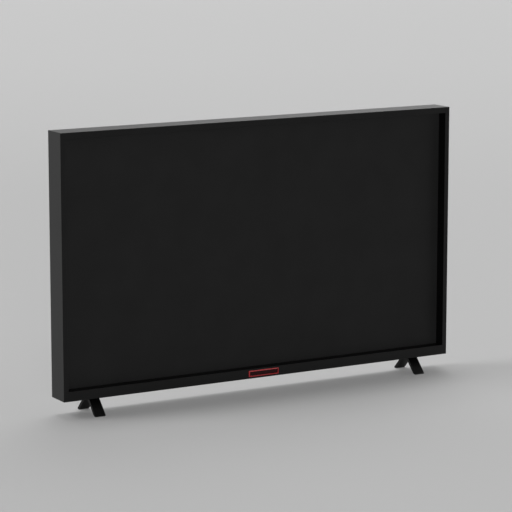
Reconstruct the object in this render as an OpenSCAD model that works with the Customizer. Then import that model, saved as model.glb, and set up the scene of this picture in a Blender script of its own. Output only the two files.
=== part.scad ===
// Flat screen television on two splayed feet.
// Cabinet pieces are drawn in cabinet coordinates: x from the middle, y back from the bezel face,
// z up from the cabinet's bottom. The finished set stands on z = 0, its feet centred on the origin.

/* [Cabinet] */
// Width of the cabinet
body_w = 966; // [880:1:1150]
// Height of the cabinet without its feet
body_h = 567; // [520:1:680]
// Depth of the cabinet from bezel face to back
body_d = 59.5; // [53:0.5:72]
// Thickness of the moulded walls
wall = 2.6; // [2.2:0.1:3]
// Chamfer along the outer edges of the cabinet
edge_break = 0.6; // [0.3:0.1:1.2]
// Width of the bezel beside the screen
bezel_side = 11; // [10:0.5:20]
// Width of the bezel above the screen
bezel_top = 13; // [12.5:0.5:24]
// Width of the bezel below the screen
bezel_bottom = 21.3; // [21:0.1:32]
// Depth of the space for boards and speakers behind the screen module
works_d = 21.8; // [20:0.1:26]
// Thickness of the wall round the screen recess
rim_t = 2.2; // [1.8:0.1:2.4]

/* [Screen module] */
// Thickness of the foam gasket in front of the screen
gasket_t = 1.2; // [0.8:0.1:2]
// Thickness of the liquid crystal panel
lcd_t = 1.8; // [1.4:0.1:2.4]
// Reach of the panel past the screen opening
lcd_lap = 2.5; // [2.3:0.1:3]
// Width of the bonding ledge along the panel's bottom edge
ledge_w = 2.4; // [2:0.1:2.6]
// Thickness of the shelf that carries the panel
shelf_t = 1.2; // [0.8:0.1:1.6]
// Thickness of each optical sheet
sheet_t = 0.6; // [0.4:0.1:0.8]
// Thickness of the light guide
guide_t = 3.5; // [3:0.1:4]
// Reach of the light guide past the screen opening
guide_lap = 2; // [1.5:0.1:2.2]
// Thickness of the reflector sheet
reflector_t = 0.4; // [0.3:0.1:0.6]
// Thickness of the steel back pan
pan_t = 1; // [0.8:0.1:1.2]
// Wall of the middle frame
mid_wall = 1; // [0.8:0.1:1.2]
// Height of the light emitters
led_h = 0.9; // [0.6:0.1:1.2]
// Thickness of the light bar's strip
led_pcb_t = 1; // [0.8:0.1:1.2]
// Thickness of the heat spreader
spreader_t = 1.5; // [1:0.1:2]
// Distance between light emitters
led_pitch = 18; // [14:1:24]
// Width of one driver film
film_w = 38; // [30:1:44]
// Thickness of driver films and ribbon cables
film_t = 0.3; // [0.2:0.05:0.4]
// Height of the source boards
source_h = 20; // [16:1:24]
// Slack fit between neighbouring pieces
fit = 0.3; // [0.2:0.05:0.4]

/* [Sensor window] */
// Width of the red trim
trim_w = 75.2; // [60:0.2:90]
// Height of the red trim
trim_h = 13.6; // [10:0.1:14]
// Width of the red line
trim_line = 2.2; // [1.6:0.1:3]
// Height of the trim in front of the bezel
trim_proud = 0.3; // [0.2:0.1:0.8]

/* [Feet] */
// Height of the cabinet above the floor
foot_h = 37.4; // [30:0.2:60]
// Width of each foot
foot_w = 24; // [23:0.5:40]
// Thickness of each leg
leg_t = 7; // [6:0.1:9]
// Angle of each leg from the upright
leg_angle = 44; // [30:0.5:48]
// Distance from the cabinet's side to the middle of the foot
foot_inset = 79.5; // [76:0.5:84]
// Thickness of the rubber pads
pad_t = 1.5; // [1:0.1:3]
// Thickness of the tongue that enters the cabinet
tongue_t = 6; // [5:0.1:7]
// Width of the tongue
tongue_w = 20; // [16:0.5:21]
// Height of the tongue inside the cabinet
tongue_h = 60; // [54:1:66]
// Sheet thickness of the steel sleeve round the tongue
sleeve_t = 1.2; // [1:0.1:1.6]
// Height of the lower foot screw above the cabinet's bottom
foot_screw_z = 20; // [18:0.5:24]
// Distance between the two screws of a foot
foot_screw_pitch = 26; // [22:0.5:28]

/* [Rear cover] */
// Gap between the rear cover and the cabinet's walls
cover_gap = 0.4; // [0.3:0.1:0.6]
// Depth of the sunk panel in the rear cover
panel_sink = 0.8; // [0.4:0.1:1]
// Border round the sunk panel
panel_border = 24; // [20:1:30]
// Height of the plain band below the sunk panel
panel_band = 70; // [62:1:80]
// Width of a vent slot
vent_w = 3.2; // [2.5:0.1:3.6]
// Height of a vent slot
vent_h = 24; // [16:1:26]
// Distance between vent slots
vent_pitch = 6.4; // [6:0.2:9]
// Slots in each row of the upper vent
vent_count = 75; // [31:2:85]
// Distance from the cabinet's side to the end screws
screw_edge = 30; // [28:0.5:34]
// Screws along the top edge
top_screws = 6; // [4:2:8]
// Distance of the inner bottom screws from the middle
bottom_screw_x = 150; // [130:1:160]

/* [Wall mount] */
// Spacing of the wall mount holes in both directions
vesa = 200; // [190:5:210]
// Bore radius of the wall mount inserts
vesa_r = 3; // [2.5:0.5:3]
// Outer radius of the wall mount inserts
insert_r = 6; // [5.5:0.1:7]

/* [Bays] */
// Distance from the cabinet's side to the terminal bay's far wall
bay_edge = 87; // [84:1:95]
// Width of the bays
bay_w = 60; // [50:1:62]
// Height of the terminal bay
bay_h = 190; // [186:1:200]
// Height of the mains bay
mains_bay_h = 72; // [60:1:90]
// Wall thickness of the bays
bay_wall = 2; // [1.6:0.1:2.4]
// Flange of the bays behind the rear cover
bay_flange = 4; // [3:0.5:5]

/* [Boards] */
// Height of the spacers under the boards
spacer_h = 5; // [4:0.5:6]
// Thickness of the circuit boards
pcb_t = 1.6; // [1.2:0.1:2]
// Height of the main board
main_h = 175; // [172:1:190]
// Distance of the boards' bottom edge below the wall mount centre
board_drop = 133.5; // [125:0.5:140]
// Height of the timing board
tcon_h = 50; // [44:1:56]
// Width of the timing board
tcon_w = 150; // [140:2:156]
// Height of the timing board's bottom edge in the cabinet
tcon_z = 62; // [58:1:66]

/* [Keys] */
// Distance from the cabinet's side to the row of keys
key_edge = 42; // [40:0.5:46]
// Distance between keys
key_pitch = 16; // [14.5:0.5:18]
// Radius of a key's cap
key_r = 4; // [3.5:0.1:4.5]
// Radial clearance of a key in its hole
key_fit = 0.3; // [0.2:0.05:0.4]
// Height of a key above the cover
key_proud = 0.8; // [0.6:0.1:1.2]
// Travel of a key
key_travel = 0.8; // [0.4:0.1:1]

/* [Speakers] */
// Width of a speaker box
speaker_w = 130; // [110:1:140]
// Depth of a speaker box
speaker_d = 15; // [13:0.5:16]
// Height of a speaker box
speaker_h = 42; // [36:1:44]
// Distance of a speaker's middle from the cabinet's side
speaker_inset = 218; // [212:1:224]

/* [Hidden] */
$fn = 48;
eps = 0.05;

// Colours
c_plastic = [0.025, 0.025, 0.027];
c_screen = [0.015, 0.015, 0.018];
c_red = [0.45, 0.04, 0.05];
c_steel = [0.6, 0.61, 0.62];
c_alu = [0.75, 0.76, 0.77];
c_board = [0.04, 0.22, 0.1];
c_dark = [0.06, 0.06, 0.065];
c_film = [0.55, 0.36, 0.12];
c_white = [0.9, 0.9, 0.88];
c_clear = [0.8, 0.85, 0.88];
c_rubber = [0.03, 0.03, 0.03];
c_wire = [0.12, 0.12, 0.13];

// Outline of the cabinet and of the screen opening
half_w = body_w / 2;
inner_x = half_w - wall;
inner_z = [wall, body_h - wall];
open_x = half_w - bezel_side;
open_z = [bezel_bottom, body_h - bezel_top];
module_d = lcd_t + shelf_t + 2 * sheet_t + guide_t + reflector_t + pan_t;
recess_d = body_d - wall - works_d - module_d;
rim_end = recess_d - gasket_t;
rim_flange = 1.4;

// Depths of the layers behind the bezel face
y_ledge = recess_d + lcd_t / 2;
y_shelf = recess_d + lcd_t;
y_prism = y_shelf + shelf_t;
y_diffuser = y_prism + sheet_t;
y_guide = y_diffuser + sheet_t;
y_reflector = y_guide + guide_t;
y_pan = y_reflector + reflector_t;
y_back = y_pan + pan_t;
y_cover = body_d - wall;
y_board = y_back + spacer_h;
y_parts = y_board + pcb_t;

// Extents of the module's layers
lcd_x = open_x + lcd_lap;
lcd_z = [open_z[0] - 2 * lcd_lap, open_z[1] + lcd_lap];
guide_x = open_x + guide_lap;
guide_z = [open_z[0] - guide_lap, open_z[1] + guide_lap];
led_gap = 0.4;
led_z = guide_z[0] - led_gap - led_h;
strip_z = led_z - led_pcb_t;
spreader_z = strip_z - spreader_t;
mid_in_x = lcd_x + fit;
mid_in_z = [spreader_z - fit, lcd_z[1] + fit];
mid_x = mid_in_x + mid_wall;
mid_z = [mid_in_z[0] - mid_wall, mid_in_z[1] + mid_wall];
pan_in_x = mid_x + fit;
pan_in_z = [mid_z[0] - fit, mid_z[1] + fit];
pan_x = pan_in_x + pan_t;
pan_z = [pan_in_z[0] - pan_t, pan_in_z[1] + pan_t];
shelf_lap = 0.5;
rib_h = 2.5;
rib_foot = 10;
rib_crown = 6;
rib_rise = 140;
rib_pitch = 50;
rib_inset = 40;

// Driver films and source boards along the module's bottom edge
film_gap = 0.5;
film_z = pan_z[0] - film_gap - film_t;
source_t = 1;
source_z = pan_z[0] + 3;
source_in = 22;
source_end = 103;
source_out = half_w - source_end;
films = 5;
ribbon_x = 42;
ribbon_w = 30;
ribbon_plug_w = ribbon_w + 4;

// Screw bosses fill the gap between the cabinet's wall and the module
boss_clear = 0.5;
boss_root = 0.2;
boss_d = body_h - wall - pan_z[1] - boss_clear + boss_root;
boss_zs = [wall + boss_d / 2 - boss_root, body_h - wall - boss_d / 2 + boss_root];
pilot_r = 1.15;
shank_gap = 0.05;
small_head_r = 2.2;
small_head_h = 1.4;
cover_pilot = 12;
bracket_pilot = 9;
board_head_r = 2.6;
board_head_h = 1.6;
end_screw_x = half_w - screw_edge;
top_step = 2 * end_screw_x / (top_screws - 1);
top_screw_xs = [for (i = [0 : top_screws - 1]) -end_screw_x + i * top_step];
bottom_screw_xs = [-end_screw_x, -bottom_screw_x, bottom_screw_x, end_screw_x];

// Brackets that hold the module in the cabinet
bracket_t = 1.2;
bracket_w = 12;
bracket_x = half_w - 58;
bracket_top_xs = [-bracket_x, -top_step, top_step, bracket_x];
bracket_bottom_xs = [-bracket_x, 0, bracket_x];
bracket_lap = 14;

// Feet
leg_flat = leg_t / cos(leg_angle);
leg_run = tan(leg_angle);
foot_x = half_w - foot_inset;
tongue_y = y_back + sleeve_t + fit;
foot_axis = tongue_y + tongue_t - leg_flat;
sleeve_y = [y_back, tongue_y + tongue_t + fit + sleeve_t];
sleeve_x = tongue_w / 2 + fit + sleeve_t;
foot_screw_zs = [foot_screw_z, foot_screw_z + foot_screw_pitch];
foot_shank_r = 2;
foot_head_r = 3.8;
foot_head_h = 2.6;
well_r = 4.6;
well_wall = 1.6;
well_floor = 2;
well_y = sleeve_y[1] + fit;

// Wall mount
vesa_z = body_h / 2;
insert_end = y_cover + 0.6;
insert_flange_r = insert_r + 3;
vesa_points = [for (x = [-1, 1], z = [-1, 1]) [x * vesa / 2, vesa_z + z * vesa / 2]];

// Bays in the rear cover, the terminal bay on the right and the mains bay on the left
bay_x = [half_w - bay_edge - bay_w, half_w - bay_edge];
board_z = vesa_z - board_drop;
bay_z = [board_z - 10, board_z - 10 + bay_h];
mains_bay_z = [board_z - 10, board_z - 10 + mains_bay_h];
bay_y = y_back + 3;
bay_flange_t = 1.6;

// Boards, each as [x0, x1, z0, z1]
hole_in = 5;
post_gap = 35;
board_x0 = vesa / 2 + post_gap;
plug_at = 122;
plug_h = 23;
plug_w = 6;
plug_d = 7;
harness_r = 0.8;
harness_pitch = 2.4;
harness_wires = 8;
main_b = [board_x0, bay_x[0] - bay_wall - 4, board_z, board_z + main_h];
inlet_len = 17;
power_b = [-(bay_x[0] - bay_wall - inlet_len - 8), -board_x0, board_z, board_z + main_h];
tcon_b = [-tcon_w / 2, tcon_w / 2, tcon_z, tcon_z + tcon_h];
boards = [main_b, power_b, tcon_b];
spacer_r = 3.2;
wifi_b = [-170, -132, 80, 104];
wifi_t = 1.2;

// Mains inlet, figure-eight pattern
inlet_z = mains_bay_z[0] + mains_bay_h / 2;
inlet_y = (bay_y + bay_wall + y_cover - bay_flange_t) / 2;
inlet_size = [inlet_len, 12.6, 23];
inlet_pitch = 8.6;
inlet_r = 4.3;
inlet_depth = 11;
inlet_pin_r = 1.2;
inlet_pin_len = 9;

// Sockets on the main board's edge, each as a height above the board's bottom edge
hdmi_at = [18, 42];
usb_at = 0.4 * main_h;
aerial_drop = 29;
aerial_at = main_h - aerial_drop;
jack_at = [aerial_at - 50, aerial_at - 32];
hdmi = [12, 5.8, 15];
usb = [14, 7, 14];
jack = [13, 6.6, 8];
jack_r = 1.8;
aerial_base = [14, 13, 14];
aerial_r = 4.7;
aerial_bore = 1.6;
aerial_len = 9;
aerial_collar_r = 6;
aerial_collar_t = 1;
socket_fit = 0.4;
shell_t = 0.5;
socket_floor = 2;
hdmi_tongue = [1, 11.2];
usb_tongue = [1.8, 11.2];
usb_wall = 0.8;
mouth_x = bay_x[0];

// Components on the boards, each as [x0, x1, z0, z1, height] from the board's lower left corner
main_w = main_b[1] - main_b[0];
power_w = power_b[1] - power_b[0];
edge_gap = 2;
ribbon_plug_h = 2;
lvds_plug = [13, 31, 4, 8, ribbon_plug_h];
main_plug = [edge_gap, edge_gap + plug_w, plug_at, plug_at + plug_h, plug_d];
power_plug = [power_w - edge_gap - plug_w, power_w - edge_gap, plug_at, plug_at + plug_h, plug_d];
processor = [50, 78, 62, 90, 2];
memory = [[52, 62, 100, 114, 1.2], [66, 76, 100, 114, 1.2]];
speaker_plug = [60, 76, edge_gap, 12, 5];
tuner = [main_w - 46, main_w - 24, aerial_at - 14, aerial_at + 14, 8];
tcon_chip = [tcon_w / 2 - 12, tcon_w / 2 + 12, 14, 36, 2];
tcon_plug = [tcon_w - 6, tcon_w - edge_gap, 16, 34, ribbon_plug_h];
tcon_ribbon_plugs = [for (side = [-1, 1])
    [tcon_w / 2 + side * ribbon_x - ribbon_plug_w / 2, tcon_w / 2 + side * ribbon_x + ribbon_plug_w / 2,
     edge_gap, 6, ribbon_plug_h]];
main_cans = [22, 34, 46, 58];
main_can_z = 42;
main_can_r = 3.2;
main_can_h = 8;
sink_lap = 6;
sink_t = 2.5;
sink_h = 9;
sink_fins = 8;
sink_fin_t = 1.5;
mains_plug = [edge_gap, 10, inlet_z - board_z - 7, inlet_z - board_z + 7, 7];
backlight_plug = [66, 86, edge_gap, 8, 7];
choke = [20, 36, 52, 74, 9];
fuse = [20, 38, 14];
fuse_r = 2.6;
winding = [power_w - 62, power_w - 20, 62, 96];
winding_h = 11;
can_len = 32;
can_r = 5.5;
can_pitch = 13;
cans_at = [52, 30];
bar_at = [24, main_h - 67, main_h - 25];
bar_len = 60;
bar_t = 2;
bar_deep = 10;
bar_high = 11;
bar_fins = 6;

// Keys
key_names = ["key_power", "key_source", "key_menu", "key_volume_up", "key_volume_down",
             "key_channel_up", "key_channel_down"];
key_x = half_w - key_edge;
key_z0 = board_z + 10;
key_flange_r = key_r + 1.6;
key_flange_t = 1.2;
key_stem_r = 1.5;
key_end = 16;
key_board_y = y_cover - 10.6;
switch_h = 3.5;
plunger_h = 1;
key_stem_end = key_board_y + pcb_t + switch_h + plunger_h + key_travel + 0.2;
key_zs = [for (i = [0 : len(key_names) - 1]) key_z0 + i * key_pitch];
strip_x = 9;
strip_end = 10;
key_b = [key_x - strip_x, key_x + strip_x, key_zs[0] - key_end, key_zs[6] + key_end];
key_post_zs = [key_b[2] + hole_in, key_b[3] - hole_in];

// Speakers
speaker_x = half_w - speaker_inset;
speaker_z = wall + boss_d + 1;
speaker_y = y_back + 3;
ear_w = 14;
ear_x = (speaker_w + ear_w) / 2;
ear_t = 2.4;
ear_z = source_z + source_h + 6;
ear_h = 11;
stud_r = 1.6;
stud_len = 11;
grommet_r = 3.6;
grommet_lip = 1.5;
cone_r = 5.5;

// Sensor window and its board
trim_z = (wall + open_z[0] - rim_t) / 2;
trim_flange = 0.7;
trim_flange_t = 1;
lens_sink = 0.5;
ir_board_y = wall + 6;
ir_board_t = 1.2;
ir_board_w = trim_w + 24;
ir_board_h = 9;
ir_peg_x = trim_w / 2 + 7;
ir_peg_r = 2.4;
ir_plug_x = 30;
ir_plug_d = 5;
lead_r = 0.8;

// Hooks along the cabinet's sides
hook_zs = [body_h * 0.25, body_h * 0.5, body_h * 0.75];
hook_w = 20;
flange_deep = 9;
flange_t = 1.8;
hook_reach = 1.1;
hook_y = [y_cover - 7, y_cover - 4];

// Block between two corners, given as a range along each axis
module block(x, y, z) {
    translate([x[0], y[0], z[0]])
        cube([x[1] - x[0], y[1] - y[0], z[1] - z[0]]);
}

// Rectangular ring round the screen axis
module ring(x_out, z_out, x_in, z_in, y) {
    difference() {
        block([-x_out, x_out], y, z_out);
        block([-x_in, x_in], [y[0] - 1, y[1] + 1], z_in);
    }
}

// Flat outline in the x-z plane, carried from depth y[0] to y[1]
module outline(y) {
    translate([0, y[1], 0])
        rotate([90, 0, 0])
            linear_extrude(y[1] - y[0])
                children();
}

// Profile in the y-z plane, carried from x[0] to x[1]
module profile(x) {
    translate([x[0], 0, 0])
        rotate([90, 0, 90])
            linear_extrude(x[1] - x[0])
                children();
}

// Round bar along the depth
module rod(x, y, z, r) {
    translate([x, y[0], z])
        rotate([-90, 0, 0])
            cylinder(r = r, h = y[1] - y[0]);
}

// Round bar along the width
module bar(x, y, z, r) {
    translate([x[0], y, z])
        rotate([0, 90, 0])
            cylinder(r = r, h = x[1] - x[0]);
}

// Rectangle with cut corners
module cut_rect(w, h, c) {
    polygon([[c, 0], [w - c, 0], [w, c], [w, h - c], [w - c, h], [c, h], [0, h - c], [0, c]]);
}

// Round wire through a list of points
module wire(points, r) {
    for (i = [0 : len(points) - 2]) {
        a = points[i];
        d = points[i + 1] - a;
        len_d = norm(d);
        translate(a)
            rotate([0, acos(d[2] / len_d), atan2(d[1], d[0])])
                cylinder(r = r, h = len_d, $fn = 16);
    }
    for (i = [1 : len(points) - 2])
        translate(points[i])
            sphere(r = r * 1.1, $fn = 16);
}

// Small screw for boards and brackets
module small_screw(x, y_seat, z, length) {
    screw(x, y_seat, z, pilot_r - shank_gap, length, small_head_r, small_head_h);
}

// Cross-head screw along the depth, head towards the back
module screw(x, y_seat, z, shank_r, length, head_r, head_h) {
    difference() {
        union() {
            rod(x, [y_seat - length, y_seat + eps], z, shank_r);
            rod(x, [y_seat, y_seat + head_h], z, head_r);
        }
        for (turn = [0, 90])
            translate([x, y_seat + head_h, z])
                rotate([0, turn, 0])
                    cube([head_r * 1.2, head_h, head_r * 0.28], center = true);
    }
}

// Everything inside or on the cabinet stands on the feet
module cabinet() {
    translate([0, -foot_axis, foot_h])
        children();
}

function board_holes(b) = [for (x = [b[0] + hole_in, b[1] - hole_in],
                                z = [b[2] + hole_in, b[3] - hole_in]) [x, z]];

// Circuit board on its spacers
module board(b) {
    difference() {
        block([b[0], b[1]], [y_board, y_parts], [b[2], b[3]]);
        for (p = board_holes(b))
            rod(p[0], [y_board - 1, y_parts + 1], p[1], pilot_r + 0.4);
    }
}

// Components on a board
module fitted(b, parts) {
    for (p = parts)
        block([b[0] + p[0], b[0] + p[1]], [y_parts - eps, y_parts + p[4]], [b[2] + p[2], b[2] + p[3]]);
}

// Box with every outer edge chamfered
module cabinet_block() {
    intersection() {
        translate([-half_w, 0, 0])
            outline([0, body_d])
                cut_rect(body_w, body_h, edge_break);
        profile([-half_w, half_w])
            cut_rect(body_d, body_h, edge_break);
        translate([-half_w, 0, 0])
            linear_extrude(body_h)
                cut_rect(body_w, body_d, edge_break);
    }
}

module front_frame() {
    grille_x = 8;
    cabinet() color(c_plastic) difference() {
        union() {
            difference() {
                cabinet_block();
                block([-inner_x, inner_x], [wall, body_d + 1], inner_z);
            }
            ring(open_x + rim_t, [open_z[0] - rim_t, open_z[1] + rim_t], open_x, open_z,
                 [wall - eps, rim_end]);
            ring(open_x + rim_t + rim_flange, [open_z[0] - rim_t - rim_flange,
                 open_z[1] + rim_t + rim_flange], open_x, open_z, [rim_end - 1.6, rim_end]);
            for (x = top_screw_xs)
                rod(x, [wall - eps, y_cover], boss_zs[1], boss_d / 2);
            for (x = bottom_screw_xs)
                rod(x, [wall - eps, y_cover], boss_zs[0], boss_d / 2);
            for (x = bracket_top_xs)
                rod(x, [wall - eps, y_back], boss_zs[1], boss_d / 2);
            for (x = bracket_bottom_xs)
                rod(x, [ir_board_y + 6, y_back], boss_zs[0], boss_d / 2);
            for (side = [-1, 1])
                rod(side * ir_peg_x, [wall - eps, ir_board_y], trim_z, ir_peg_r);
        }
        block([-open_x, open_x], [-1, rim_end + 1], open_z);
        block([-trim_w / 2 - 0.1, trim_w / 2 + 0.1], [-1, wall + 1],
              [trim_z - trim_h / 2 - 0.1, trim_z + trim_h / 2 + 0.1]);
        for (x = top_screw_xs)
            rod(x, [y_cover - cover_pilot, y_cover + 1], boss_zs[1], pilot_r);
        for (x = bottom_screw_xs)
            rod(x, [y_cover - cover_pilot, y_cover + 1], boss_zs[0], pilot_r);
        for (x = bracket_top_xs)
            rod(x, [y_back - bracket_pilot, y_back + 1], boss_zs[1], pilot_r);
        for (x = bracket_bottom_xs)
            rod(x, [y_back - bracket_pilot, y_back + 1], boss_zs[0], pilot_r);
        for (side = [-1, 1]) {
            rod(side * ir_peg_x, [ir_board_y - 4, ir_board_y + 1], trim_z, pilot_r);
            block([side * foot_x - tongue_w / 2 - fit, side * foot_x + tongue_w / 2 + fit],
                  [tongue_y - fit, tongue_y + tongue_t + fit], [-1, wall + 1]);
            for (i = [-6 : 6])
                block([side * speaker_x + i * grille_x - 1.5, side * speaker_x + i * grille_x + 1.5],
                      [speaker_y, speaker_y + speaker_d], [-1, wall + 1]);
            for (z = hook_zs)
                translate([side * inner_x, 0, 0])
                    block([-hook_reach, hook_reach], hook_y, [z - hook_w / 2, z + hook_w / 2]);
        }
    }
}

// Outline of the sensor window, grown by a margin
module window_rect(w, h, grow) {
    translate([-w / 2 - grow, trim_z - h / 2 - grow])
        square([w + 2 * grow, h + 2 * grow]);
}

module ir_trim() {
    w_in = trim_w - 2 * trim_line;
    h_in = trim_h - 2 * trim_line;
    cabinet() color(c_red) {
        outline([-trim_proud, wall])
            difference() {
                window_rect(trim_w, trim_h, 0);
                window_rect(w_in, h_in, 0);
            }
        outline([wall, wall + trim_flange_t])
            difference() {
                window_rect(trim_w, trim_h, trim_flange);
                window_rect(w_in, h_in, 0);
            }
    }
}

module ir_window() {
    w_in = trim_w - 2 * trim_line;
    h_in = trim_h - 2 * trim_line;
    back = wall + trim_flange_t;
    cabinet() color(c_screen) {
        outline([lens_sink, back])
            window_rect(w_in, h_in, -0.1);
        outline([back, back + 1])
            window_rect(w_in, h_in, 1.2);
    }
}

module ir_board() {
    lens_back = wall + trim_flange_t + 1;
    cabinet() color(c_board) difference() {
        union() {
            block([-ir_board_w / 2, ir_board_w / 2], [ir_board_y, ir_board_y + ir_board_t],
                  [trim_z - ir_board_h / 2, trim_z + ir_board_h / 2]);
            block([-14, -8], [lens_back + 0.2, ir_board_y + eps], [trim_z - 3, trim_z + 3]);
            bar([-11.5, -10.5], lens_back + 1, trim_z, 0.8);
            rod(12, [lens_back + 0.2, ir_board_y + eps], trim_z, 1.5);
            block([ir_plug_x - 4, ir_plug_x + 4],
                  [ir_board_y + ir_board_t - eps, ir_board_y + ir_plug_d], [trim_z - 3, trim_z + 3]);
        }
        for (side = [-1, 1])
            rod(side * ir_peg_x, [ir_board_y - 1, ir_board_y + 4], trim_z, pilot_r + 0.4);
    }
}

module screen_gasket() {
    cabinet() color(c_rubber)
        ring(open_x + rim_t, [open_z[0] - rim_t, open_z[1] + rim_t], open_x + 0.4,
             [open_z[0] - 0.4, open_z[1] + 0.4], [rim_end, recess_d]);
}

module lcd_panel() {
    cabinet() color(c_screen) {
        block([-lcd_x, lcd_x], [recess_d, y_ledge + eps], [lcd_z[0] + ledge_w, lcd_z[1]]);
        block([-lcd_x, lcd_x], [y_ledge, y_shelf], lcd_z);
    }
}

// Middle of each driver film
film_step = (source_out - source_in) / films;
film_xs = [for (side = [-1, 1], i = [0 : films - 1]) side * (source_in + (i + 0.5) * film_step)];

module driver_flexes() {
    y_out = y_back + source_t;
    cabinet() color(c_film)
        for (x = film_xs)
            profile([x - film_w / 2, x + film_w / 2])
                polygon([[y_ledge - film_t, lcd_z[0] + ledge_w - 0.3], [y_ledge, lcd_z[0] + ledge_w - 0.3],
                         [y_ledge, film_z + film_t], [y_out, film_z + film_t], [y_out, source_z + 4],
                         [y_out + film_t, source_z + 4], [y_out + film_t, film_z],
                         [y_ledge - film_t, film_z]]);
}

module source_boards() {
    cabinet() color(c_board)
        for (side = [-1, 1]) {
            xs = side > 0 ? [source_in, source_out] : [-source_out, -source_in];
            block(xs, [y_back, y_back + source_t], [source_z, source_z + source_h]);
            block([side * ribbon_x - ribbon_plug_w / 2, side * ribbon_x + ribbon_plug_w / 2],
                  [y_back + source_t - eps, y_back + source_t + 2],
                  [source_z + source_h - 7, source_z + source_h - 2]);
        }
}

module panel_mid_frame() {
    cabinet() color(c_dark) {
        ring(mid_x, mid_z, open_x + shelf_lap, [open_z[0] - shelf_lap, open_z[1] + shelf_lap],
             [y_shelf, y_prism]);
        ring(mid_x, mid_z, mid_in_x, mid_in_z, [y_prism - eps, y_pan]);
        difference() {
            ring(mid_x, mid_z, mid_in_x, mid_in_z, [recess_d, y_shelf + eps]);
            block([-mid_x - 1, mid_x + 1], [recess_d - 1, y_shelf], [mid_z[0] - 1, lcd_z[0]]);
        }
    }
}

module prism_sheet() {
    cabinet() color(c_clear)
        block([-guide_x, guide_x], [y_prism, y_diffuser], guide_z);
}

module diffuser_sheet() {
    cabinet() color(c_white)
        block([-guide_x, guide_x], [y_diffuser, y_guide], guide_z);
}

module light_guide() {
    cabinet() color(c_clear)
        block([-guide_x, guide_x], [y_guide, y_reflector], guide_z);
}

module reflector_sheet() {
    cabinet() color(c_white)
        block([-guide_x, guide_x], [y_reflector, y_pan], guide_z);
}

module led_bar() {
    count = floor((guide_x - 10) / led_pitch);
    cabinet() color(c_white) {
        block([-guide_x, guide_x], [y_guide, y_reflector], [strip_z, led_z]);
        for (i = [-count : count])
            block([i * led_pitch - 3, i * led_pitch + 3], [y_guide + 0.4, y_reflector - 0.4],
                  [led_z - eps, led_z + led_h]);
    }
}

module led_heat_spreader() {
    cabinet() color(c_alu)
        block([-guide_x, guide_x], [y_prism, y_pan], [spreader_z, strip_z]);
}

// Stamped stiffening rib across the back pan
module rib(x, z, h, grow) {
    profile(x)
        polygon([[y_back - eps, z - rib_foot - grow], [y_back + h, z - rib_crown - grow],
                 [y_back + h, z + rib_crown + grow], [y_back - eps, z + rib_foot + grow]]);
}

module back_pan() {
    rib_zs = [vesa_z + rib_rise, vesa_z + rib_rise + rib_pitch];
    rib_x = pan_x - rib_inset;
    cabinet() color(c_steel) difference() {
        union() {
            block([-pan_x, pan_x], [y_pan, y_back], pan_z);
            ring(pan_x, pan_z, pan_in_x, pan_in_z, [y_shelf, y_pan + eps]);
            for (z = rib_zs)
                rib([-rib_x, rib_x], z, rib_h, 0);
            for (b = boards, p = board_holes(b))
                rod(p[0], [y_back - eps, y_board], p[1], spacer_r);
            for (side = [-1, 1], end = [-1, 1])
                rod(side * speaker_x + end * ear_x, [y_back - eps, speaker_y + stud_len], ear_z, stud_r);
        }
        for (z = rib_zs)
            translate([0, -pan_t, 0])
                rib([-rib_x + pan_t, rib_x - pan_t], z, rib_h, -pan_t / 2);
        for (b = boards, p = board_holes(b))
            rod(p[0], [y_back - pan_t - 1, y_board + 1], p[1], pilot_r);
        for (x = bracket_top_xs)
            rod(x, [y_pan - 1, y_back + 1], pan_z[1] - bracket_lap / 2, pilot_r);
        for (x = bracket_bottom_xs)
            rod(x, [y_pan - 1, y_back + 1], pan_z[0] + bracket_lap / 2, pilot_r);
    }
}

// Flat bracket from a boss to the back pan
module bracket(x, z_boss, z_pan, z0, z1) {
    difference() {
        block([x - bracket_w / 2, x + bracket_w / 2], [y_back, y_back + bracket_t], [z0, z1]);
        for (z = [z_boss, z_pan])
            rod(x, [y_back - 1, y_back + bracket_t + 1], z, pilot_r + 0.2);
    }
}

module panel_brackets() {
    cabinet() color(c_steel) {
        for (x = bracket_top_xs)
            bracket(x, boss_zs[1], pan_z[1] - bracket_lap / 2, pan_z[1] - bracket_lap,
                    body_h - wall - fit);
        for (x = bracket_bottom_xs)
            bracket(x, boss_zs[0], pan_z[0] + bracket_lap / 2, wall + fit, pan_z[0] + bracket_lap);
    }
}

module vesa_inserts() {
    cabinet() color(c_steel)
        for (p = vesa_points)
            difference() {
                union() {
                    rod(p[0], [y_back, insert_end], p[1], insert_r);
                    rod(p[0], [y_back, y_back + 1.5], p[1], insert_flange_r);
                }
                rod(p[0], [y_back + 2, insert_end + 1], p[1], vesa_r);
            }
}

module foot_sleeves() {
    cabinet() color(c_steel)
        for (side = [-1, 1])
            translate([side * foot_x, 0, 0])
                difference() {
                    block([-sleeve_x, sleeve_x], sleeve_y, [pan_z[0] + 2, tongue_h + 4]);
                    block([-tongue_w / 2 - fit, tongue_w / 2 + fit],
                          [tongue_y - fit, tongue_y + tongue_t + fit], [0, tongue_h + 1]);
                    for (z = foot_screw_zs) {
                        rod(0, [y_back - 1, tongue_y], z, foot_shank_r + shank_gap);
                        rod(0, [tongue_y + 1, well_y + 1], z, foot_shank_r + 0.3);
                    }
                }
}

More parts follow.
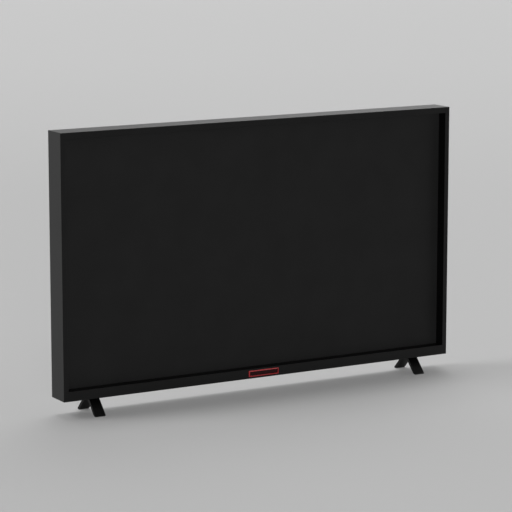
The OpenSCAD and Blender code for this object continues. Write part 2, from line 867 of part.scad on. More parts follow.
module inner_screws() {
    seat = y_back + bracket_t;
    cabinet() color(c_steel) {
        for (b = boards, p = board_holes(b))
            screw(p[0], y_parts, p[1], pilot_r - shank_gap, pcb_t + spacer_h, board_head_r, board_head_h);
        for (x = bracket_top_xs) {
            small_screw(x, seat, boss_zs[1], bracket_pilot - 1);
            small_screw(x, seat, pan_z[1] - bracket_lap / 2, bracket_t + pan_t);
        }
        for (x = bracket_bottom_xs) {
            small_screw(x, seat, boss_zs[0], bracket_pilot - 1);
            small_screw(x, seat, pan_z[0] + bracket_lap / 2, bracket_t + pan_t);
        }
        for (side = [-1, 1])
            small_screw(side * ir_peg_x, ir_board_y + ir_board_t, trim_z, ir_board_t + 3.4);
        for (z = key_post_zs)
            mirror([0, 1, 0])
                small_screw(key_x, -key_board_y, z, 7);
    }
}

// Cover screws: head sunk in the cover, shank in a boss
cover_head_r = 2.2;
cover_head_h = 1.3;
cover_seat = body_d - cover_head_h - 0.2;

module cover_screws() {
    cabinet() color(c_dark) {
        for (x = top_screw_xs)
            screw(x, cover_seat, boss_zs[1], pilot_r - shank_gap, 10, cover_head_r, cover_head_h);
        for (x = bottom_screw_xs)
            screw(x, cover_seat, boss_zs[0], pilot_r - shank_gap, 10, cover_head_r, cover_head_h);
    }
}

module foot_screws() {
    cabinet() color(c_dark)
        for (side = [-1, 1], z = foot_screw_zs)
            screw(side * foot_x, well_y + well_floor, z, foot_shank_r,
                  well_y + well_floor - y_back - 0.2, foot_head_r, foot_head_h);
}

module tcon_board() {
    cabinet() color(c_board) {
        board(tcon_b);
        fitted(tcon_b, concat([tcon_chip, tcon_plug], tcon_ribbon_plugs));
    }
}

module tcon_shield() {
    x = tcon_w / 2 - 20;
    z = [tcon_z + 9, tcon_z + tcon_h - 3];
    cabinet() color(c_steel) difference() {
        block([-x, x], [y_parts, y_parts + 5], z);
        block([-x + 0.8, x - 0.8], [y_parts - 1, y_parts + 4.2], [z[0] + 0.8, z[1] - 0.8]);
        for (i = [-5 : 5])
            block([i * 8 - 1.5, i * 8 + 1.5], [y_parts + 3, y_parts + 6], [z[0] + 8, z[1] - 8]);
    }
}

module tcon_ribbons() {
    top_y = y_parts + 0.9;
    low_y = y_back + source_t + 0.9;
    z_top = tcon_z + 2;
    z_low = source_z + source_h - 2;
    cabinet() color(c_white)
        for (side = [-1, 1])
            profile([side * ribbon_x - ribbon_w / 2, side * ribbon_x + ribbon_w / 2])
                polygon([[top_y, z_top], [top_y + film_t, z_top], [top_y + film_t, z_top - 5],
                         [low_y + film_t, z_low + 5], [low_y + film_t, z_low], [low_y, z_low],
                         [low_y, z_low + 5], [top_y, z_top - 5]]);
}

module lvds_ribbon() {
    x0 = tcon_b[1] - 2;
    x1 = main_b[0] + lvds_plug[0] + 1;
    z0 = tcon_z + 17;
    cabinet() color(c_white)
        outline([y_parts + 0.8, y_parts + 0.8 + film_t])
            polygon([[x0, z0], [x1 + 16, z0], [x1 + 16, main_b[2] + 4], [x1, main_b[2] + 4],
                     [x1, z0 + 16], [x0, z0 + 16]]);
}

module main_board() {
    cabinet() color(c_board) {
        board(main_b);
        fitted(main_b, concat([lvds_plug, main_plug, processor, speaker_plug, tuner], memory));
        for (x = main_cans)
            rod(main_b[0] + x, [y_parts - eps, y_parts + main_can_h], main_b[2] + main_can_z, main_can_r);
    }
}

module soc_heat_sink() {
    y = y_parts + processor[4];
    x = [main_b[0] + processor[0] - sink_lap, main_b[0] + processor[1] + sink_lap];
    z = [main_b[2] + processor[2] - sink_lap, main_b[2] + processor[3] + sink_lap];
    fin_step = (x[1] - x[0] - sink_fin_t) / (sink_fins - 1);
    cabinet() color(c_alu) {
        block(x, [y, y + sink_t], z);
        for (i = [0 : sink_fins - 1])
            block([x[0] + i * fin_step, x[0] + i * fin_step + sink_fin_t], [y + sink_t - eps, y + sink_h], z);
    }
}

// Metal socket shell with a contact tongue, its mouth towards the bay
module shell_socket(at, size, t, tongue_y, tongue) {
    translate([mouth_x - size[0], y_parts, board_z + at])
        difference() {
            block([0, size[0]], [0, size[1]], [-size[2] / 2, size[2] / 2]);
            difference() {
                block([socket_floor, size[0] + 1], [t, size[1] - t], [-size[2] / 2 + t, size[2] / 2 - t]);
                block([1, size[0] - 1], [tongue_y, tongue_y + tongue[0]], [-tongue[1] / 2, tongue[1] / 2]);
            }
        }
}

module hdmi_sockets() {
    cabinet() color(c_steel)
        for (at = hdmi_at)
            shell_socket(at, hdmi, shell_t, (hdmi[1] - hdmi_tongue[0]) / 2, hdmi_tongue);
}

module usb_socket() {
    cabinet() color(c_steel)
        shell_socket(usb_at, usb, usb_wall, usb[1] - usb_wall - usb_tongue[0] - shell_t, usb_tongue);
}

module audio_jacks() {
    cabinet() color(c_dark)
        for (at = jack_at)
            translate([mouth_x - jack[0], y_parts, board_z + at])
                difference() {
                    block([0, jack[0]], [0, jack[1]], [-jack[2] / 2, jack[2] / 2]);
                    bar([1, jack[0] + 1], jack[1] / 2, 0, jack_r);
                }
}

module aerial_socket() {
    cabinet() color(c_steel)
        translate([mouth_x, y_parts, board_z + aerial_at])
            difference() {
                union() {
                    block([-aerial_base[0], -bay_wall - 0.3], [0, aerial_base[1]],
                          [-aerial_base[2] / 2, aerial_base[2] / 2]);
                    bar([-bay_wall - 1, aerial_collar_t], aerial_base[1] / 2, 0, aerial_collar_r);
                    bar([0, aerial_collar_t + aerial_len], aerial_base[1] / 2, 0, aerial_r);
                }
                bar([1, aerial_collar_t + aerial_len + 1], aerial_base[1] / 2, 0, aerial_bore);
            }
}

module power_board() {
    x = power_b[0];
    cabinet() color(c_board) {
        board(power_b);
        fitted(power_b, [power_plug, mains_plug, backlight_plug, choke]);
        bar([x + fuse[0], x + fuse[1]], y_parts + fuse_r - 0.1, power_b[2] + fuse[2], fuse_r);
    }
}

module power_transformer() {
    x = [power_b[0] + winding[0], power_b[0] + winding[1]];
    z = [power_b[2] + winding[2], power_b[2] + winding[3]];
    plate = 3;
    limb = 6;
    cabinet() color(c_dark) {
        for (y = [y_parts, y_parts + winding_h - plate])
            block(x, [y, y + plate], z);
        block([x[0] + limb + 2, x[1] - limb - 2], [y_parts + 2, y_parts + winding_h - 1],
              [z[0] + 5, z[1] - 5]);
        for (x0 = [x[0], x[1] - limb])
            block([x0, x0 + limb], [y_parts + 2, y_parts + winding_h - 2], z);
    }
}

module mains_capacitors() {
    x = power_b[0] + cans_at[0];
    cabinet() color(c_dark)
        for (i = [0, 1])
            bar([x, x + can_len], y_parts + can_r, power_b[2] + cans_at[1] + i * can_pitch, can_r);
}

module power_heat_sinks() {
    x = power_b[0] + bar_at[0];
    fin_step = (bar_len - bar_t) / (bar_fins - 1);
    cabinet() color(c_alu)
        for (at = [bar_at[1], bar_at[2]]) {
            z = power_b[2] + at;
            block([x, x + bar_len], [y_parts, y_parts + bar_high], [z, z + bar_t]);
            for (i = [0 : bar_fins - 1])
                block([x + i * fin_step, x + i * fin_step + bar_t], [y_parts, y_parts + bar_high],
                      [z + bar_t / 2, z + bar_deep]);
        }
}

module power_harness() {
    x = [power_b[1] - 2, main_b[0] + 2];
    z = board_z + plug_at + plug_h / 2 - (harness_wires - 1) / 2 * harness_pitch;
    cabinet() color(c_wire)
        for (i = [0 : harness_wires - 1])
            bar(x, y_parts + plug_d / 2, z + i * harness_pitch, harness_r, $fn = 16);
}

// Figure-eight hollow of the mains inlet, opening to the left
module inlet_hollow() {
    for (side = [-1, 1])
        bar([-1, inlet_depth], 0, side * inlet_pitch / 2, inlet_r);
    block([-1, inlet_depth], [-inlet_r, inlet_r], [-inlet_pitch / 2, inlet_pitch / 2]);
}

module mains_inlet() {
    cabinet() color(c_dark)
        translate([-bay_x[0], inlet_y, inlet_z]) {
            difference() {
                union() {
                    block([0, inlet_size[0]], [-inlet_size[1] / 2, inlet_size[1] / 2],
                          [-inlet_size[2] / 2, inlet_size[2] / 2]);
                    block([bay_wall, bay_wall + 2], [-inlet_size[1] / 2, inlet_size[1] / 2],
                          [-inlet_size[2] / 2 - 3, inlet_size[2] / 2 + 3]);
                }
                inlet_hollow();
            }
            for (side = [-1, 1])
                bar([inlet_depth - inlet_pin_len, inlet_depth + 1], 0, side * inlet_pitch / 2, inlet_pin_r);
        }
}

module inlet_lead() {
    x = [-bay_x[0] + inlet_size[0], power_b[0] + 2];
    cabinet() color(c_wire)
        for (side = [-1, 1])
            bar(x, y_parts + 4, inlet_z + side * 4, 1.2, $fn = 16);
}

module wifi_module() {
    cabinet() color(c_board) {
        block([wifi_b[0], wifi_b[1]], [y_back, y_back + wifi_t], [wifi_b[2], wifi_b[3]]);
        block([wifi_b[0] + 4, wifi_b[1] - 10], [y_back + wifi_t - eps, y_back + 3],
              [wifi_b[2] + 4, wifi_b[3] - 4]);
    }
}

// Speaker box with an ear at each end
module speaker(side) {
    y = [speaker_y, speaker_y + speaker_d];
    translate([side * speaker_x, 0, 0]) difference() {
        union() {
            block([-speaker_w / 2, speaker_w / 2], y, [speaker_z, speaker_z + speaker_h]);
            for (end = [-1, 1])
                block([end * ear_x - ear_w / 2 - eps, end * ear_x + ear_w / 2 + eps],
                      [y[0] + 4, y[0] + 4 + ear_t], [ear_z - ear_h / 2, ear_z + ear_h / 2]);
        }
        for (end = [-1, 1])
            rod(end * ear_x, [y[0] + 3, y[0] + 5 + ear_t], ear_z, grommet_r - 1);
        for (i = [-1, 1])
            translate([i * 30, y[0] + speaker_d / 2, speaker_z - 1])
                cylinder(r = cone_r, h = 6);
        block([-speaker_w / 2 + 2, speaker_w / 2 - 2], [y[0] + 2, y[1] - 2],
              [speaker_z + 4.5, speaker_z + speaker_h - 2]);
    }
}

module speaker_left() {
    cabinet() color(c_dark)
        speaker(-1);
}

module speaker_right() {
    cabinet() color(c_dark)
        speaker(1);
}

module speaker_cones() {
    cabinet() color(c_rubber)
        for (side = [-1, 1], i = [-1, 1])
            translate([side * speaker_x + i * 30, speaker_y + speaker_d / 2, speaker_z]) {
                translate([0, 0, 0.6])
                    cylinder(r1 = cone_r - 0.2, r2 = 2, h = 3);
                translate([0, 0, 3])
                    cylinder(r = 2, h = 6);
                translate([0, 0, 5])
                    cylinder(r = cone_r - 0.8, h = 5);
            }
}

module speaker_grommets() {
    y = speaker_y + 4;
    cabinet() color(c_rubber)
        for (side = [-1, 1], end = [-1, 1])
            translate([side * speaker_x + end * ear_x, y, ear_z])
                difference() {
                    union() {
                        rod(0, [-grommet_lip, ear_t + grommet_lip], 0, grommet_r - 1.05);
                        rod(0, [-grommet_lip, -0.05], 0, grommet_r + 1);
                        rod(0, [ear_t + 0.05, ear_t + grommet_lip], 0, grommet_r + 1);
                    }
                    rod(0, [-grommet_lip - 1, ear_t + grommet_lip + 1], 0, stud_r + 0.05);
                }
}

module speaker_leads() {
    y = y_parts + 3;
    y_in = speaker_y + speaker_d / 2;
    top = speaker_z + speaker_h;
    z_run = tcon_z - 3;
    x = main_b[0] + 62;
    cabinet() color(c_wire)
        for (i = [0, 1]) {
            wire([[x + 8 + i * 3, y, board_z + 2], [x + 8 + i * 3, y, board_z - 8],
                  [speaker_x + i * 3, y_in, top + 16], [speaker_x + i * 3, y_in, top]], 0.7);
            wire([[x + i * 3, y, board_z + 2], [x + i * 3, y, z_run - i * 3],
                  [-speaker_x + i * 3, y, z_run - i * 3], [-speaker_x + i * 3, y, top]], 0.7);
        }
}

module signal_leads() {
    z_run = bay_z[0] - bay_wall - 5;
    z_low = (wall + film_z) / 2;
    y_lead = y_cover - 4;
    y_turn = ir_board_y + 2 * ir_plug_d;
    lead_x = main_b[0] - 23;
    x_plug = main_b[0] + 6;
    z_plug = board_z + 20;
    cabinet() color(c_wire) {
        wire([[ir_plug_x, ir_board_y + ir_plug_d, trim_z], [ir_plug_x, y_turn, trim_z],
              [ir_plug_x, y_turn, z_low], [lead_x, y_turn, z_low], [lead_x, y_lead, z_low],
              [lead_x, y_lead, z_plug], [x_plug, y_lead, z_plug], [x_plug, y_parts, z_plug]], lead_r);
        wire([[key_x, key_board_y + pcb_t + 2, key_b[2] + 11], [key_x - 16, y_cover - 6, key_b[2] - 2],
              [key_x - 30, y_cover - 6, z_run], [main_b[1] - 14, y_cover - 6, z_run],
              [main_b[1] - 14, y_cover - 6, board_z + 4], [main_b[1] - 14, y_parts, board_z + 4]], lead_r);
    }
}

module key_board() {
    y = key_board_y;
    cabinet() color(c_board) difference() {
        union() {
            block([key_b[0], key_b[1]], [y, y + pcb_t], [key_b[2], key_b[3]]);
            for (z = key_zs) {
                block([key_x - 3, key_x + 3], [y + pcb_t - eps, y + pcb_t + switch_h], [z - 3, z + 3]);
                rod(key_x, [y + pcb_t, y + pcb_t + switch_h + plunger_h], z, 1.6);
            }
        }
        for (z = key_post_zs)
            rod(key_x, [y - 1, y + pcb_t + 1], z, pilot_r + 0.4);
    }
}

module key(i) {
    cabinet() color(c_dark) {
        rod(key_x, [y_cover - fit - eps, body_d + key_proud], key_zs[i], key_r);
        rod(key_x, [y_cover - fit - key_flange_t, y_cover - fit], key_zs[i], key_flange_r);
        rod(key_x, [key_stem_end, y_cover - fit - key_flange_t + eps], key_zs[i], key_stem_r);
    }
}

// Open tub behind the rear cover with a flange at its mouth
module bay(x, z) {
    difference() {
        union() {
            block([x[0] - bay_wall, x[1] + bay_wall], [bay_y, y_cover], [z[0] - bay_wall, z[1] + bay_wall]);
            block([x[0] - bay_flange, x[1] + bay_flange], [y_cover - bay_flange_t, y_cover],
                  [z[0] - bay_flange, z[1] + bay_flange]);
        }
        block(x, [bay_y + bay_wall, y_cover + 1], z);
    }
}

// Window in the terminal bay's inner wall for one socket
module socket_window(at, deep, tall) {
    block([bay_x[0] - bay_wall - 5, bay_x[0] + 0.5], [y_parts - socket_fit, y_parts + deep + socket_fit],
          [board_z + at - tall / 2 - socket_fit, board_z + at + tall / 2 + socket_fit]);
}

module terminal_bay() {
    cabinet() color(c_plastic) difference() {
        bay(bay_x, bay_z);
        for (at = hdmi_at)
            socket_window(at, hdmi[1], hdmi[2]);
        socket_window(usb_at, usb[1], usb[2]);
        for (at = jack_at)
            socket_window(at, jack[1], jack[2]);
        bar([bay_x[0] - bay_wall - 5, bay_x[0] + 0.5], y_parts + aerial_base[1] / 2, board_z + aerial_at,
            aerial_collar_r + socket_fit);
    }
}

module inlet_bay() {
    cabinet() color(c_plastic) difference() {
        bay([-bay_x[1], -bay_x[0]], mains_bay_z);
        translate([-bay_x[0], inlet_y, inlet_z])
            block([-0.5, bay_wall + 0.5], [-inlet_size[1] / 2 - 0.1, inlet_size[1] / 2 + 0.1],
                  [-inlet_size[2] / 2 - 0.1, inlet_size[2] / 2 + 0.1]);
    }
}

// One field of upright vent slots
module vent_row(x, z, count) {
    for (i = [0 : count - 1])
        translate([x + (i - (count - 1) / 2) * vent_pitch - vent_w / 2, z])
            square([vent_w, vent_h]);
}

module rear_cover() {
    x = inner_x - cover_gap;
    z = [inner_z[0] + cover_gap, inner_z[1] - cover_gap];
    low_vents = 23;
    vent_top = body_h - 64;
    cabinet() color(c_plastic) difference() {
        union() {
            outline([y_cover, body_d])
                difference() {
                    translate([-x, z[0]])
                        square([2 * x, z[1] - z[0]]);
                    vent_row(0, vent_top, vent_count);
                    vent_row(0, vent_top - vent_h - 6, vent_count);
                    for (side = [-1, 1])
                        vent_row(side * (board_x0 + 75), board_z - vent_h - 16, low_vents);
                    translate([bay_x[0], bay_z[0]])
                        square([bay_w, bay_h]);
                    translate([-bay_x[1], mains_bay_z[0]])
                        square([bay_w, mains_bay_h]);
                }
            for (side = [-1, 1]) {
                flange_x = side > 0 ? [x - flange_t, x] : [-x, -x + flange_t];
                block(flange_x, [y_cover - flange_deep, y_cover + eps], [hook_zs[0] - 40, hook_zs[2] + 40]);
                for (h = hook_zs)
                    translate([side * x, 0, 0])
                        block([-hook_reach, hook_reach], [hook_y[0] + fit, hook_y[1] - fit],
                              [h - hook_w / 2 + 1, h + hook_w / 2 - 1]);
                for (s = foot_screw_zs)
                    rod(side * foot_x, [well_y, y_cover + eps], s, well_r + well_wall);
            }
            for (s = key_post_zs)
                rod(key_x, [key_board_y + pcb_t, y_cover + eps], s, spacer_r);
        }
        block([-half_w + panel_border, half_w - panel_border], [body_d - panel_sink, body_d + 1],
              [panel_band, body_h - panel_border]);
        block([key_x - strip_x, key_x + strip_x], [body_d - panel_sink - 0.6, body_d + 1],
              [key_zs[0] - strip_end, key_zs[6] + strip_end]);
        for (s = key_zs)
            rod(key_x, [y_cover - 1, body_d + 1], s, key_r + key_fit);
        for (s = key_post_zs)
            rod(key_x, [key_board_y, y_cover - 2], s, pilot_r);
        for (p = vesa_points)
            rod(p[0], [y_cover - 1, body_d + 1], p[1], insert_r + 1);
        for (side = [-1, 1], s = foot_screw_zs) {
            rod(side * foot_x, [well_y - 1, body_d + 1], s, foot_shank_r + 0.3);
            rod(side * foot_x, [well_y + well_floor, body_d + 1], s, well_r);
        }
        for (s = top_screw_xs) {
            rod(s, [y_cover - 1, body_d + 1], boss_zs[1], pilot_r + 0.3);
            rod(s, [cover_seat, body_d + 1], boss_zs[1], cover_head_r + 0.3);
        }
        for (s = bottom_screw_xs) {
            rod(s, [y_cover - 1, body_d + 1], boss_zs[0], pilot_r + 0.3);
            rod(s, [cover_seat, body_d + 1], boss_zs[0], cover_head_r + 0.3);
        }
    }
}

// Foot: two splayed legs under a crown, with a tongue that enters the cabinet
module foot(side) {
    crown = 4;
    out = leg_flat + (foot_h - pad_t) * leg_run;
    step = foot_h - crown;
    web = crown * leg_run;
    tongue_mid = leg_flat - tongue_t;
    translate([side * foot_x, 0, 0]) difference() {
        union() {
            profile([-foot_w / 2, foot_w / 2])
                polygon([[-leg_flat, foot_h], [leg_flat, foot_h], [out, pad_t], [out - leg_flat, pad_t],
                         [web, step], [-web, step], [-out + leg_flat, pad_t], [-out, pad_t]]);
            block([-tongue_w / 2, tongue_w / 2], [tongue_mid, leg_flat], [foot_h - 1, foot_h + tongue_h]);
        }
        for (z = foot_screw_zs)
            rod(0, [-leg_flat - 1, leg_flat + 1], foot_h + z, foot_shank_r + 0.2);
    }
}

module foot_left() {
    color(c_dark)
        foot(-1);
}

module foot_right() {
    color(c_dark)
        foot(1);
}

module foot_pads() {
    out = leg_flat + (foot_h - pad_t) * leg_run;
    inset = 0.8;
    color(c_rubber)
        for (side = [-1, 1], end = [-1, 1])
            translate([side * foot_x, end * (out - leg_flat / 2), 0])
                translate([-foot_w / 2 + inset, -leg_flat / 2 + inset, 0])
                    cube([foot_w - 2 * inset, leg_flat - 2 * inset, pad_t]);
}

front_frame();
ir_trim();
ir_window();
ir_board();
screen_gasket();
lcd_panel();
driver_flexes();
source_boards();
panel_mid_frame();
prism_sheet();
diffuser_sheet();
light_guide();
reflector_sheet();
led_bar();
led_heat_spreader();
back_pan();
panel_brackets();
vesa_inserts();
foot_sleeves();
inner_screws();
cover_screws();
foot_screws();
tcon_board();
tcon_shield();
tcon_ribbons();
lvds_ribbon();
main_board();
soc_heat_sink();
hdmi_sockets();
usb_socket();
audio_jacks();
aerial_socket();
power_board();
power_transformer();
mains_capacitors();
power_heat_sinks();
power_harness();
mains_inlet();
inlet_lead();
wifi_module();
speaker_left();
speaker_right();
speaker_cones();
speaker_grommets();
speaker_leads();
signal_leads();
key_board();
terminal_bay();
inlet_bay();
rear_cover();
foot_left();
foot_right();
foot_pads();
key(0);  // key_power
key(1);  // key_source
key(2);  // key_menu
key(3);  // key_volume_up
key(4);  // key_volume_down
key(5);  // key_channel_up
key(6);  // key_channel_down
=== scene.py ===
import math

import bmesh
import bpy
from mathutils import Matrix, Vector


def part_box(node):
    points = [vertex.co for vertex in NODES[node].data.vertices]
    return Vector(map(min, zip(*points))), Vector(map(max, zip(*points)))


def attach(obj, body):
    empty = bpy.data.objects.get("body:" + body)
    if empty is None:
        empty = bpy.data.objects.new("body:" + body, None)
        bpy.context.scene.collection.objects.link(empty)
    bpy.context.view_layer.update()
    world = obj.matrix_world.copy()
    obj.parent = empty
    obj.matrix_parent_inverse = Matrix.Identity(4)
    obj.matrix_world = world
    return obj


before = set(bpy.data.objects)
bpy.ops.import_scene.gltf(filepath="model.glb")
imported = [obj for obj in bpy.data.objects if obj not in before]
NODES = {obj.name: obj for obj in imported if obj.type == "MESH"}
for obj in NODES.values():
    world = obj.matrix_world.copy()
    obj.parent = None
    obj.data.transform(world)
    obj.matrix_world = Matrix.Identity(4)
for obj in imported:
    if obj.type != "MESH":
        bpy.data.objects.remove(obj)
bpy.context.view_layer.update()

MM = 0.001

# Materials

# How fine the marks of each kind are, as noise scales
CLOUD_SCALE = 14.0
SMUDGE_SCALE = 9.0
WEAR_SCALE = 45.0
LINE_SCALE = 60.0
TRACE_SCALE = 160.0
MASK_SCALE = 300.0
PRINT_SCALE = 1100.0
HAZE_SCALE = 40.0

# How far the roughness strays from a material's own value
GRAIN_GLOSS = (-0.06, 0.02)
SMUDGE_GLOSS = (-0.03, 0.07)
LINE_GLOSS = (-0.08, 0.10)

# Cosine of the turn between a flat face and its rounded edge, where wear starts and where it is full
WEAR_START = 0.995
WEAR_FULL = 0.85
EDGE_SAMPLES = 4


class Tree:
    """A material's node tree with short ways to add and join nodes."""

    def __init__(self, name):
        self.mat = bpy.data.materials.new(name)
        self.mat.use_nodes = True
        self.nodes = self.mat.node_tree.nodes
        self.links = self.mat.node_tree.links
        self.shader = self.nodes["Principled BSDF"]
        self.coords = self.nodes.new("ShaderNodeTexCoord")

    def add(self, kind, **sockets):
        node = self.nodes.new(kind)
        for key, value in sockets.items():
            node.inputs[key.replace("_", " ")].default_value = value
        return node

    def join(self, output, socket):
        self.links.new(output, socket)

    def feed(self, output, name):
        """Leads an output to the shader's socket of that name."""
        self.join(output, self.shader.inputs[name])

    def values(self, **sockets):
        """Sets constant values on the shader's own sockets."""
        for key, value in sockets.items():
            self.shader.inputs[key.replace("_", " ")].default_value = value

    def combine(self, operation, a, b, clamp=False):
        node = self.nodes.new("ShaderNodeMath")
        node.operation = operation
        node.use_clamp = clamp
        self.join(a, node.inputs[0])
        self.join(b, node.inputs[1])
        return node.outputs[0]

    def stretch(self, scale):
        """Object coordinates scaled along each axis."""
        mapping = self.add("ShaderNodeMapping", Scale=scale)
        self.join(self.coords.outputs["Object"], mapping.inputs["Vector"])
        return mapping.outputs["Vector"]

    def noise(self, scale, detail=3.0, vector=None):
        node = self.add("ShaderNodeTexNoise", Scale=scale, Detail=detail)
        self.join(vector or self.coords.outputs["Object"], node.inputs["Vector"])
        return node.outputs["Fac"]

    def ramp(self, fac, stops):
        node = self.nodes.new("ShaderNodeValToRGB")
        elements = node.color_ramp.elements
        while len(elements) < len(stops):
            elements.new(0.5)
        for element, (position, colour) in zip(elements, stops):
            element.position = position
            element.color = (*colour, 1.0)
        self.join(fac, node.inputs["Fac"])
        return node.outputs["Color"]

    def spread(self, fac, low, high):
        node = self.add("ShaderNodeMapRange", To_Min=low, To_Max=high)
        self.join(fac, node.inputs["Value"])
        return node.outputs["Result"]

    def bump(self, height, distance, strength=1.0):
        """Relief of that distance in millimetres."""
        node = self.add("ShaderNodeBump", Strength=strength, Distance=distance * MM)
        self.join(height, node.inputs["Height"])
        self.feed(node.outputs["Normal"], "Normal")
        return node

    def rubbed(self, bump, base, worn, radius):
        """Rounds the edges in the shading and lightens the colour along them."""
        round_edge = self.add("ShaderNodeBevel", Radius=radius * MM)
        round_edge.samples = EDGE_SAMPLES
        self.join(round_edge.outputs["Normal"], bump.inputs["Normal"])
        geometry = self.nodes.new("ShaderNodeNewGeometry")
        turn = self.nodes.new("ShaderNodeVectorMath")
        turn.operation = "DOT_PRODUCT"
        self.join(round_edge.outputs["Normal"], turn.inputs[0])
        self.join(geometry.outputs["True Normal"], turn.inputs[1])
        near_edge = self.add("ShaderNodeMapRange", From_Min=WEAR_START, From_Max=WEAR_FULL)
        self.join(turn.outputs["Value"], near_edge.inputs["Value"])
        patchy = self.combine("MULTIPLY", near_edge.outputs["Result"], self.noise(WEAR_SCALE, 4.0))
        mix = self.nodes.new("ShaderNodeMix")
        mix.data_type = "RGBA"
        mix.inputs["B"].default_value = (*worn, 1.0)
        self.join(patchy, mix.inputs["Factor"])
        self.join(base, mix.inputs["A"])
        return mix.outputs["Result"]


def lighter(colour, k):
    return tuple(min(1.0, c * k) for c in colour)


def grey(value):
    return (value, value, value)


def around(value, stray):
    return value + stray[0], value + stray[1]


def grained(name, colour, rough, grain=900.0, depth=0.03, vary=0.16, specular=0.5, metallic=0.0,
            edge=0.0, wear=2.0):
    """Moulded or painted surface: mottled colour, smudged gloss, a fine grain and edges that are
    rounded by edge millimetres and rubbed lighter by wear."""
    t = Tree(name)
    cloud = t.noise(CLOUD_SCALE)
    base = t.ramp(cloud, [(0.3, lighter(colour, 1 - vary)), (0.7, lighter(colour, 1 + vary))])
    fine = t.noise(grain, 2.0)
    smudge = t.noise(SMUDGE_SCALE, 5.0)
    grain_gloss = t.spread(fine, *around(rough, GRAIN_GLOSS))
    t.feed(t.combine("ADD", grain_gloss, t.spread(smudge, *SMUDGE_GLOSS)), "Roughness")
    bump = t.bump(fine, depth, 0.6)
    if edge:
        base = t.rubbed(bump, base, lighter(colour, wear), edge)
    t.feed(base, "Base Color")
    t.values(Specular_IOR_Level=specular, Metallic=metallic)
    return t.mat


def lined(t, colour, rough, direction):
    """Gives metal fine lines along one axis, and returns them."""
    lines = t.noise(LINE_SCALE, 4.0, t.stretch(direction))
    t.feed(t.ramp(lines, [(0.25, lighter(colour, 0.85)), (0.75, lighter(colour, 1.08))]), "Base Color")
    t.feed(t.spread(lines, *around(rough, LINE_GLOSS)), "Roughness")
    t.values(Metallic=1.0)
    return lines


def brushed(name, colour, rough, direction):
    """Metal with fine lines along one axis."""
    t = Tree(name)
    t.bump(lined(t, colour, rough, direction), 0.01, 0.5)
    return t.mat


def threaded(name, colour, rough, direction, pitch):
    """Plated metal whose bores carry a thread, its turns pitch millimetres apart along the depth."""
    t = Tree(name)
    lined(t, colour, rough, direction)
    # The bands of a wave node are pi / (10 * Scale) apart
    turns = t.add("ShaderNodeTexWave", Scale=math.pi / (10.0 * pitch * MM), Distortion=0.0)
    turns.bands_direction = "Y"
    t.join(t.coords.outputs["Object"], turns.inputs["Vector"])
    t.bump(turns.outputs["Fac"], 0.5)
    return t.mat


def board_material(name, colour):
    """Solder mask with faint traces."""
    t = Tree(name)
    traces = t.add("ShaderNodeTexVoronoi", Scale=TRACE_SCALE)
    traces.feature = "DISTANCE_TO_EDGE"
    t.join(t.coords.outputs["Object"], traces.inputs["Vector"])
    t.feed(t.ramp(traces.outputs["Distance"], [(0.02, lighter(colour, 1.7)), (0.06, colour)]), "Base Color")
    t.feed(t.spread(t.noise(MASK_SCALE), 0.35, 0.5), "Roughness")
    return t.mat


def printed(name, colour, under, rough):
    """Print that is rubbed through to what is under it."""
    t = Tree(name)
    rub = t.noise(PRINT_SCALE, 4.0)
    t.feed(t.ramp(rub, [(0.30, under), (0.38, lighter(colour, 0.9)), (0.70, colour)]), "Base Color")
    t.feed(t.spread(rub, *around(rough, LINE_GLOSS)), "Roughness")
    t.bump(rub, 0.01, 0.5)
    return t.mat


def clear_material(name, colour, rough):
    """Clear moulding, tinted."""
    t = Tree(name)
    haze = t.noise(HAZE_SCALE)
    t.feed(t.ramp(haze, [(0.3, lighter(colour, 0.96)), (0.7, colour)]), "Base Color")
    t.feed(t.spread(haze, rough, rough + 0.06), "Roughness")
    t.values(Transmission_Weight=0.8, IOR=1.49)
    return t.mat


KEY_BLACK = (0.016, 0.016, 0.017)
ZINC = (0.52, 0.53, 0.54)
ZINC_LINES = (4, 20, 4)
PLATE_LINES = (30, 4, 4)

